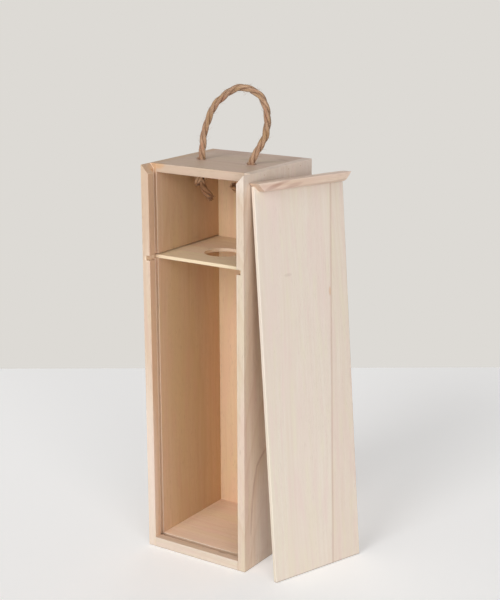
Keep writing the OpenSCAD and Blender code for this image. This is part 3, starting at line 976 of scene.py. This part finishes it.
def jute():
    """Spun jute, with its fibres along the rope, painted shade between the strands, on the left tail and on
    the right knot, and painted warm light on it in the case.
    """
    made, n = new_material("jute")
    at = n.add("ShaderNodeAttribute", {}, attribute_name="fibre").outputs["Vector"]
    out = n.vector("LENGTH", n.vector("MULTIPLY", at, (1, 1, 0)))
    yarn = n.noise(at, (0.9, 0.9, 0.09), 3)
    fine = n.noise(at, (4.5, 4.5, 0.22), 3)
    patch = n.noise(at, (0.25, 0.25, 0.06), 2)
    colour = n.mix(n.between(yarn, 0.3, 0.7), JUTE_DARK, JUTE)
    colour = n.mix(n.between(fine, 0.35, 0.75, 0, 0.7), colour, JUTE_PALE)
    colour = n.mix(n.between(patch, 0.52, 0.68, 0, 0.55), colour, JUTE_RED)
    colour = n.mix(n.between(patch, 0.48, 0.34, 0, 0.5), colour, JUTE_GREEN)
    in_case = n.millimetres()
    level = n.along(in_case, UP)
    left = n.between(n.along(in_case, ACROSS), 0, -1)
    # Painted warm light on the rope inside the case, under the top board
    below_ceiling = n.between(level, CASE_H - TOP_T + 1, CASE_H - TOP_T - 3)
    colour = n.mix(n.math("MULTIPLY", below_ceiling, 0.4), colour, JUTE_WARM_LIGHT)
    # Painted shade on the left tail, below its knot
    shade_painted = n.math("MULTIPLY", left, n.between(level, 332, 328, 0, 0.75))
    colour = n.tinted(shade_painted, colour, TAIL_SHADE)
    # Painted shade on the right knot inside the case
    shaded = n.math("MULTIPLY", below_ceiling, n.math("SUBTRACT", 1.0, left))
    colour = n.tinted(shaded, colour, SHADED_KNOT)
    # Painted shade where the strands meet, darker towards the rope's middle
    colour = n.mix(n.between(out, 2.75, 2.1, 0, 0.6), colour, JUTE_CREVICE_SHADE)
    height = n.math("ADD", n.math("MULTIPLY", yarn, 0.5), fine)
    n.surface({"Base Color": colour, "Roughness": 0.82, "Specular IOR Level": 0.25, "Sheen Weight": 0.15,
               "Sheen Roughness": 0.5}, height, 0.00022)
    return made


make_rope()

# A plug of filler: its outline as depths past the side's face and shares of its radius, in millimetres
PLUG = [(-0.9, 1), (-0.02, 1), (0.015, 0.85), (0.03, 0.4)]
PLUG_SIDES = 16
PLUG_SPARE = 0.03 * MM


def filler():
    made, n = new_material("filler")
    grain = n.noise(n.millimetres(), (3, 3, 3), 3)
    colour = n.mix(n.between(grain, 0.3, 0.7), srgb(206, 178, 150), srgb(222, 200, 174))
    n.surface({"Base Color": colour, "Roughness": 0.85, "Specular IOR Level": 0.2}, grain, 0.00005)
    return made


def pin_boxes():
    """The lowest and highest corner of each sunk pin."""
    shape = bmesh.new()
    shape.from_mesh(frame["nodes"]["corner_pins"].data)
    bmesh.ops.remove_doubles(shape, verts=shape.verts, dist=1e-6)
    boxes, seen = [], set()
    for first in shape.verts:
        if first in seen:
            continue
        seen.add(first)
        pin = [first]
        for v in pin:
            beside = {e.other_vert(v) for e in v.link_edges} - seen
            seen |= beside
            pin.extend(beside)
        corners = np.array([v.co for v in pin])
        boxes.append((corners.min(0), corners.max(0)))
    shape.free()
    return boxes


def make_fillers():
    """Wood filler over the sunk pins in the sides, flush with the boards."""
    whole = bmesh.new()
    turns = np.arange(PLUG_SIDES) * 2 * math.pi / PLUG_SIDES
    for low, high in pin_boxes():
        _, y, z = (low + high) / 2
        side = 1 if high[0] + low[0] > 0 else -1
        radius = (high[2] - low[2]) / 2 + PLUG_SPARE
        rings = []
        for depth, share in PLUG:
            x = side * (CASE_W / 2 + depth) * MM
            r = radius * share
            ring = [(x, y + math.cos(a) * r * side, z + math.sin(a) * r) for a in turns]
            rings.append([whole.verts.new(place) for place in ring])
        for one, two in zip(rings, rings[1:]):
            for k in range(PLUG_SIDES):
                after = (k + 1) % PLUG_SIDES
                whole.faces.new((one[k], one[after], two[after], two[k])).smooth = True
        whole.faces.new(rings[-1]).smooth = True
        whole.faces.new(list(reversed(rings[0])))
    data = bpy.data.meshes.new("pin_filler")
    whole.to_mesh(data)
    whole.free()
    made = link("pin_filler", data, [filler()])
    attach(made, "case")


make_fillers()


def brushed_steel():
    """Plain wire, drawn lengthwise."""
    made, n = new_material("pin_steel")
    scratch = n.noise(n.millimetres(), (6, 6, 6), 4)
    colour = n.mix(scratch, srgb(150, 148, 145), srgb(200, 198, 194))
    n.surface({"Base Color": colour, "Metallic": 1.0, "Roughness": n.between(scratch, 0.3, 0.7, 0.3, 0.5)},
              scratch, 0.00002)
    return made


def finish_pins():
    steel = brushed_steel()
    for node in ("corner_pins", "back_pins"):
        data = frame["nodes"][node].data
        data.materials.clear()
        data.materials.append(steel)


finish_pins()

# The table: half its side in metres, and the glow that a camera sees from its front to its back edge
WALL = srgb(221, 218, 213)
TABLE = srgb(237, 236, 235)
TABLE_HALF = 0.5086
GLOW = (0.27, 0.39)
WORLD_LIGHT = 0.28
LAMPS_AIM = (0, 0, 0.18)


def make_table():
    """A pale table as far as the photograph's back edge."""
    shape = bmesh.new()
    bmesh.ops.create_grid(shape, x_segments=1, y_segments=1, size=TABLE_HALF)
    data = bpy.data.meshes.new("table")
    shape.to_mesh(data)
    shape.free()
    made, n = new_material("table")
    plain = n.add("ShaderNodeBsdfDiffuse", {"Color": (*TABLE, 1)})
    back = n.along(n.add("ShaderNodeTexCoord", {}).outputs["Object"], BACK)
    share = n.math("MULTIPLY", n.met_by("Camera", "Glossy"), n.between(back, -TABLE_HALF, TABLE_HALF, *GLOW))
    glow = n.add("ShaderNodeEmission", {"Color": (*TABLE, 1), "Strength": share})
    both = n.add("ShaderNodeAddShader", {0: plain.outputs[0], 1: glow.outputs[0]})
    n.add("ShaderNodeOutputMaterial", {0: both.outputs[0]})
    floor = link("table", data, [made])
    floor.rotation_euler = (0, 0, math.radians(CAMERA_YAW))


def make_world():
    """A plain wall behind the table, which gives a little light of its own."""
    world = bpy.data.worlds.new("studio")
    bpy.context.scene.world = world
    world.use_nodes = True
    n = Nodes(world.node_tree)
    lit = n.add("ShaderNodeBackground", {"Color": (1, 1, 1, 1), "Strength": WORLD_LIGHT})
    shown = n.add("ShaderNodeBackground", {"Color": (*WALL, 1), "Strength": 1.0})
    seen = n.met_by("Camera", "Glossy", "Transmission")
    both = n.add("ShaderNodeMixShader", {0: seen, 1: lit.outputs[0], 2: shown.outputs[0]})
    n.add("ShaderNodeOutputWorld", {0: both.outputs[0]})


def make_light(name, azimuth, elevation, share, size, distance=4.0):
    """A soft lamp aimed at the object. share is the brightness that it gives a white surface facing it."""
    data = bpy.data.lights.new(name, "AREA")
    data.shape = "DISK"
    data.size = size
    data.energy = math.pi ** 2 * share * distance ** 2
    a, e = math.radians(azimuth), math.radians(elevation)
    way = Vector((math.sin(a) * math.cos(e), -math.cos(a) * math.cos(e), math.sin(e)))
    light = bpy.data.objects.new(name, data)
    light.location = Vector(LAMPS_AIM) + way * distance
    light.rotation_euler = way.to_track_quat("Z", "Y").to_euler()
    bpy.context.scene.collection.objects.link(light)


make_table()
make_world()
make_light("key", -2, 30, 0.40, 2.0)
make_light("fill", 52, 12, 0.41, 2.4)
make_light("front", 8, 2, 0.21, 2.0)
make_light("rear", 203, 3, 0.28, 2.0)

bpy.context.scene.view_settings.view_transform = "Standard"
